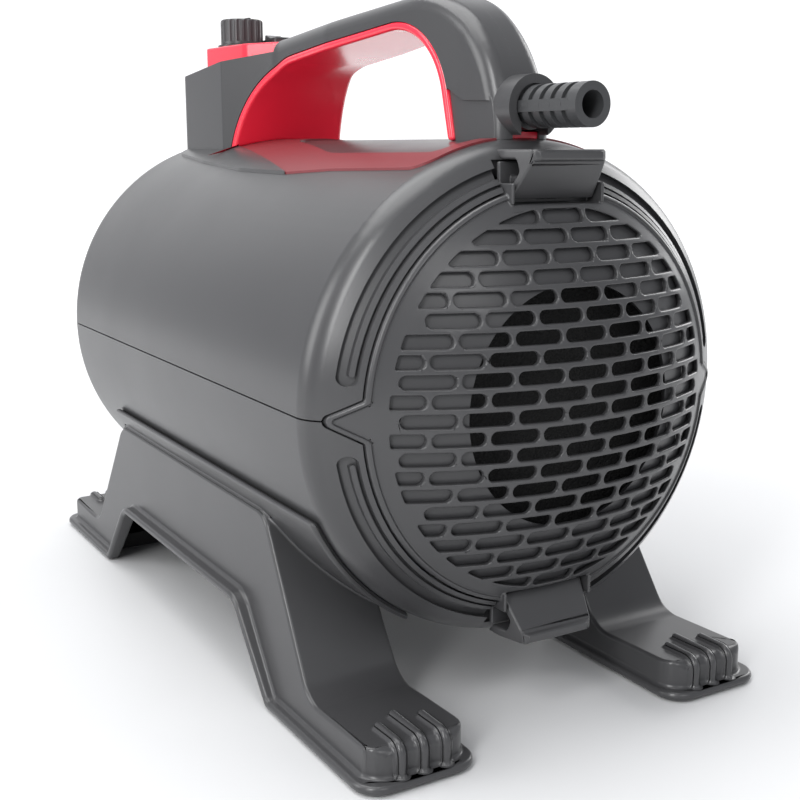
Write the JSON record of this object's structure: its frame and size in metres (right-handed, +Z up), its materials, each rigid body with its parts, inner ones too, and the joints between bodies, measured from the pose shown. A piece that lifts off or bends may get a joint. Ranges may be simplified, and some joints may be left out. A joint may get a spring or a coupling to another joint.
{
  "type": "pet dryer",
  "caption": "Drum-shaped pet dryer on side skids with a loop handle, red control cap with knob and rocker, latched slotted intake cover and a rear hose spigot.",
  "frame": {"origin": "centre of the footprint's bounding box, on the floor under the rubber pads", "axes": "+Z up; +Y along the drum from the intake towards the outlet spigot; +X to the right seen from the intake side's rear, so that the knob lies at -X"},
  "size_m": [0.22, 0.4326, 0.3267],
  "materials": {
    "casing_plastic": "satin dark grey, lightly grained",
    "inner_plastic": "matt black",
    "black_plastic": "semi-gloss black",
    "red_plastic": "glossy red",
    "maroon_plastic": "dull dark red",
    "yellow_plastic": "semi-gloss yellow",
    "foot_rubber": "matt black rubber",
    "black_rubber": "satin black rubber",
    "filter_foam": "open-cell black foam",
    "screw_steel": "zinc plated",
    "steel": "plain steel",
    "spring_steel": "bright spring steel",
    "lamination": "varnished laminations",
    "aluminium": "as cast",
    "copper": "copper",
    "brass": "plain brass",
    "carbon": "matt carbon",
    "board_laminate": "green solder mask"
  },
  "bodies": {
    "housing": {"upper_shell": "casing_plastic", "lower_shell": "casing_plastic", "handle_shell_right": "casing_plastic", "handle_shell_left": "casing_plastic", "right_skid": "casing_plastic", "left_skid": "casing_plastic", "foot_pad_front_right": "foot_rubber", "foot_pad_front_left": "foot_rubber", "foot_pad_rear_right": "foot_rubber", "foot_pad_rear_left": "foot_rubber", "seam_screws": "screw_steel", "skid_screws": "screw_steel", "handle_screws": "screw_steel", "nozzle_screws": "screw_steel", "board_screws": "screw_steel", "handle_liner": "red_plastic", "control_cap": "red_plastic", "handle_spacer": "red_plastic", "saddle_trim": "maroon_plastic", "dial_plate": "black_plastic", "pot_body": "steel", "switch_frame": "black_plastic", "cord_gland": "black_rubber", "gland_nut": "black_plastic", "keepers": "spring_steel", "pod_skirt": "casing_plastic", "outlet_nozzle": "black_plastic", "outlet_guard": "black_plastic", "fan_housing": "steel", "motor_mount_front": "foot_rubber", "stage_plate": "steel", "motor_front_bracket": "aluminium", "stator": "lamination", "field_coils": "copper", "motor_rear_bracket": "aluminium", "motor_cushion_rear": "foot_rubber", "bearings": "steel", "brush_holders": "brass", "carbon_brushes": "carbon", "control_board": "board_laminate", "heatsink": "aluminium", "filter_capacitor": "yellow_plastic", "acoustic_foam": "filter_foam"},
    "cover": {"intake_cover": "casing_plastic", "filter_retainer": "inner_plastic", "filter_foam": "filter_foam", "latch_pins": "steel", "latch_spring_upper": "spring_steel", "latch_spring_lower": "spring_steel"},
    "latch_upper": {"latch_upper": "casing_plastic"},
    "latch_lower": {"latch_lower": "casing_plastic"},
    "speed_control": {"speed_knob": "black_plastic", "pot_shaft": "steel"},
    "rocker": {"switch_rocker": "black_plastic"},
    "rotor": {"rotor_shaft": "steel", "armature": "lamination", "commutator": "copper", "impeller_front": "aluminium", "impeller_rear": "aluminium", "impeller_nut": "steel"}
  },
  "joints": [
    {"name": "cover_slide", "type": "slide", "parent": "housing", "child": "cover", "axis": [0, -1, 0], "range_m": [0, 0.06], "deforming": ["keepers"]},
    {"name": "latch_upper_hinge", "type": "hinge", "parent": "cover", "child": "latch_upper", "pos_m": [0, -0.18475, 0.2371], "axis": [1, 0, 0], "range_deg": [0, 10], "stiffness_Nm_per_rad": 0.12, "springref_deg": -6.88, "deforming": ["latch_spring_upper"]},
    {"name": "latch_lower_hinge", "type": "hinge", "parent": "cover", "child": "latch_lower", "pos_m": [0, -0.18475, 0.0521], "axis": [-1, 0, 0], "range_deg": [0, 10], "stiffness_Nm_per_rad": 0.12, "springref_deg": -6.88, "deforming": ["latch_spring_lower"]},
    {"name": "speed_turn", "type": "hinge", "parent": "housing", "child": "speed_control", "pos_m": [-0.0085, 0.11425, 0.3116], "axis": [0, 0, 1], "range_deg": [-135, 135]},
    {"name": "rocker_tip", "type": "hinge", "parent": "housing", "child": "rocker", "pos_m": [0.0115, 0.10625, 0.3118], "axis": [1, 0, 0], "range_deg": [-16, 0]},
    {"name": "rotor_spin", "type": "hinge", "parent": "housing", "child": "rotor", "pos_m": [0, 0.01025, 0.1446], "axis": [0, 1, 0], "continuous": true}
  ]
}
